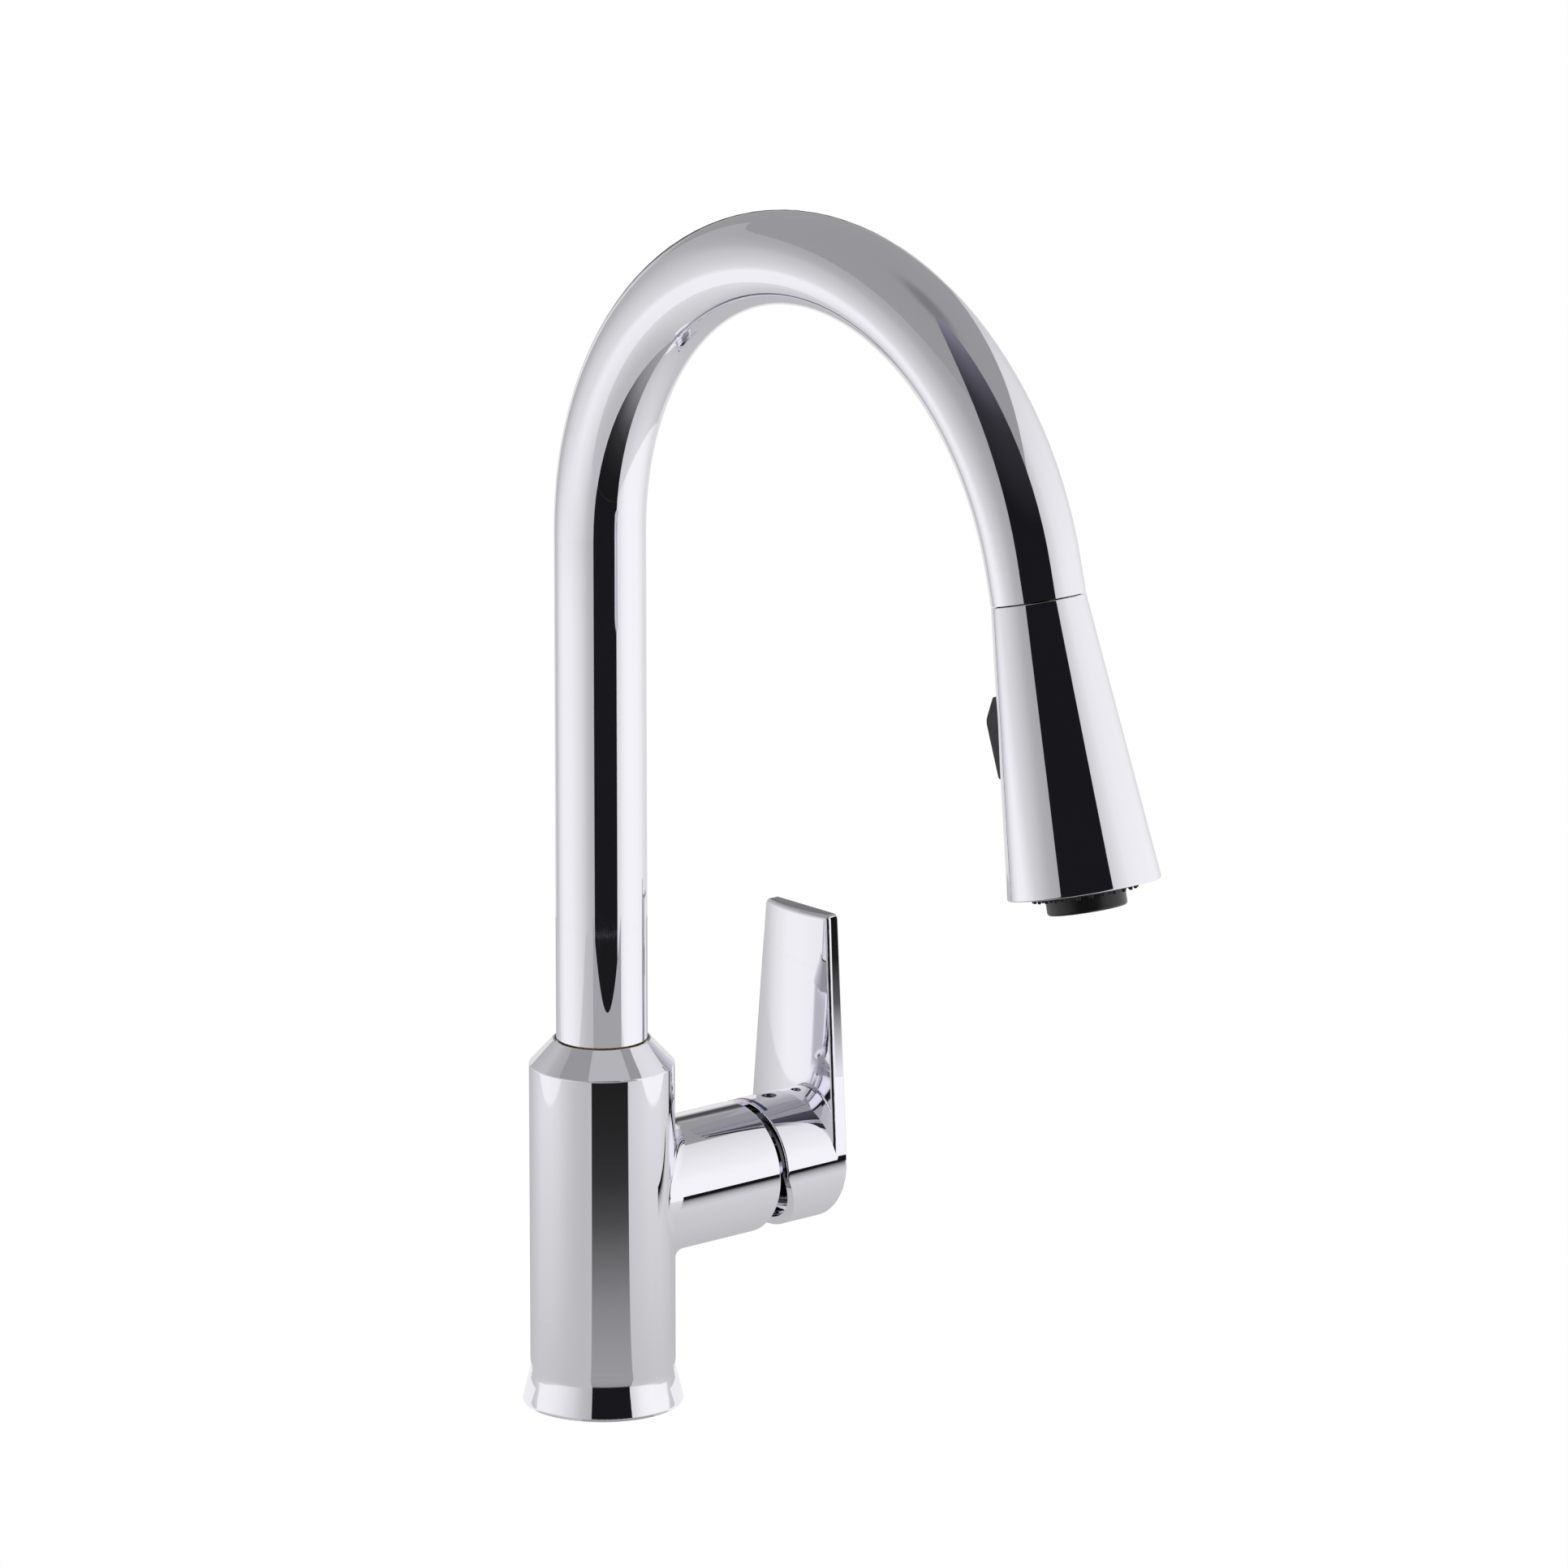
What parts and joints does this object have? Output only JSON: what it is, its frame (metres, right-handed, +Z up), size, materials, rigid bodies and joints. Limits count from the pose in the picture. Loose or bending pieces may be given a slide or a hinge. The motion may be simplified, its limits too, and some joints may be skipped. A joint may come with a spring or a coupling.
{
  "type": "pull down kitchen faucet",
  "caption": "Single-hole kitchen faucet with a swivelling high-arc spout, a pull-down spray head with a rocker toggle and a side lever valve.",
  "frame": {"origin": "centre of the base face where the faucet stands on the deck", "axes": "+Z up along the body and the spout's swivel axis; the spout reaches towards -Y; +X along the valve, out to the lever"},
  "size_m": [0.1158, 0.2846, 0.4965],
  "materials": {
    "chrome": "mirror polished chrome plate",
    "brass": "machined brass",
    "steel": "turned stainless steel",
    "black_rubber": "matte moulded rubber",
    "black_plastic": "fine matte moulding",
    "grey_plastic": "fine matte moulding",
    "white_ceramic": "polished ceramic",
    "magnet": "sintered magnet",
    "hose_braid": "braided nylon over a rubber liner",
    "red_enamel": "enamel fill",
    "blue_enamel": "enamel fill"
  },
  "bodies": {
    "faucet_body": {"body_casting": "chrome", "base_gasket": "black_rubber", "mounting_shank": "brass", "spout_snap_ring": "steel", "cartridge_seals": "black_rubber", "cartridge_base": "grey_plastic", "fixed_ceramic_disc": "white_ceramic", "cartridge_housing": "grey_plastic", "cartridge_nut": "brass", "bonnet": "chrome"},
    "spout": {"spout_tube": "chrome", "spout_sleeve": "brass", "upper_glide_ring": "grey_plastic", "lower_glide_ring": "grey_plastic", "spout_o_ring": "black_rubber", "docking_collar": "black_plastic", "docking_magnet": "magnet", "spray_hose": "hose_braid", "hose_coupling": "brass"},
    "hose_end": {"hose_ferrule": "steel"},
    "spray_head": {"swivel_nut": "brass", "head_shell": "chrome", "docking_plate": "steel", "head_waterway": "black_plastic", "inlet_washer": "black_rubber", "check_valve": "grey_plastic", "toggle_pivot_pin": "steel", "spray_manifold": "black_plastic", "face_seal": "black_rubber", "nozzle_face": "black_rubber", "face_ring": "chrome", "aerator_housing": "black_plastic", "aerator_insert": "grey_plastic"},
    "toggle": {"toggle_button": "black_rubber"},
    "diverter": {"diverter_spool": "grey_plastic", "diverter_o_rings": "black_rubber"},
    "temperature_rotor": {"cartridge_rotor": "grey_plastic", "stem_pin": "steel"},
    "mixing_disc": {"moving_ceramic_disc": "white_ceramic", "disc_carrier": "grey_plastic"},
    "handle": {"cartridge_stem": "steel", "handle_lever": "chrome", "handle_set_screw": "steel", "set_screw_plug": "black_plastic", "hot_mark": "red_enamel", "cold_mark": "blue_enamel"}
  },
  "joints": [
    {"name": "spout_swivel", "type": "hinge", "parent": "faucet_body", "child": "spout", "pos_m": [0, 0, 0.11], "axis": [0, 0, 1], "continuous": true},
    {"name": "head_pull", "type": "slide", "parent": "spout", "child": "hose_end", "axis": [0, -0.2419, -0.9703], "range_m": [0, 0.45], "stiffness_N_per_m": 20, "springref_m": -0.35},
    {"name": "head_spin", "type": "hinge", "parent": "hose_end", "child": "spray_head", "pos_m": [0, -0.21226, 0.31106], "axis": [0, -0.2419, -0.9703], "continuous": true},
    {"name": "toggle_rock", "type": "hinge", "parent": "spray_head", "child": "toggle", "pos_m": [0, -0.21053, 0.26632], "axis": [1, 0, 0], "range_deg": [-0.2, 12.2]},
    {"name": "diverter_slide", "type": "slide", "parent": "spray_head", "child": "diverter", "axis": [0, -0.2419, -0.9703], "range_m": [0, 0.00186]},
    {"name": "handle_temperature", "type": "hinge", "parent": "faucet_body", "child": "temperature_rotor", "pos_m": [0.05, 0, 0.0688], "axis": [1, 0, 0], "range_deg": [-45, 45]},
    {"name": "handle_flow", "type": "hinge", "parent": "temperature_rotor", "child": "handle", "pos_m": [0.05, 0, 0.0688], "axis": [0, 1, 0], "range_deg": [0, 22]},
    {"name": "disc_slide", "type": "slide", "parent": "temperature_rotor", "child": "mixing_disc", "axis": [0, 0, 1], "range_m": [-0.0001, 0.0056]}
  ],
  "couplings": [
    {"joint": "toggle_rock", "follows": "diverter_slide", "rad_per_m": 112.36},
    {"joint": "disc_slide", "follows": "handle_flow", "m_per_rad": 0.0138}
  ]
}
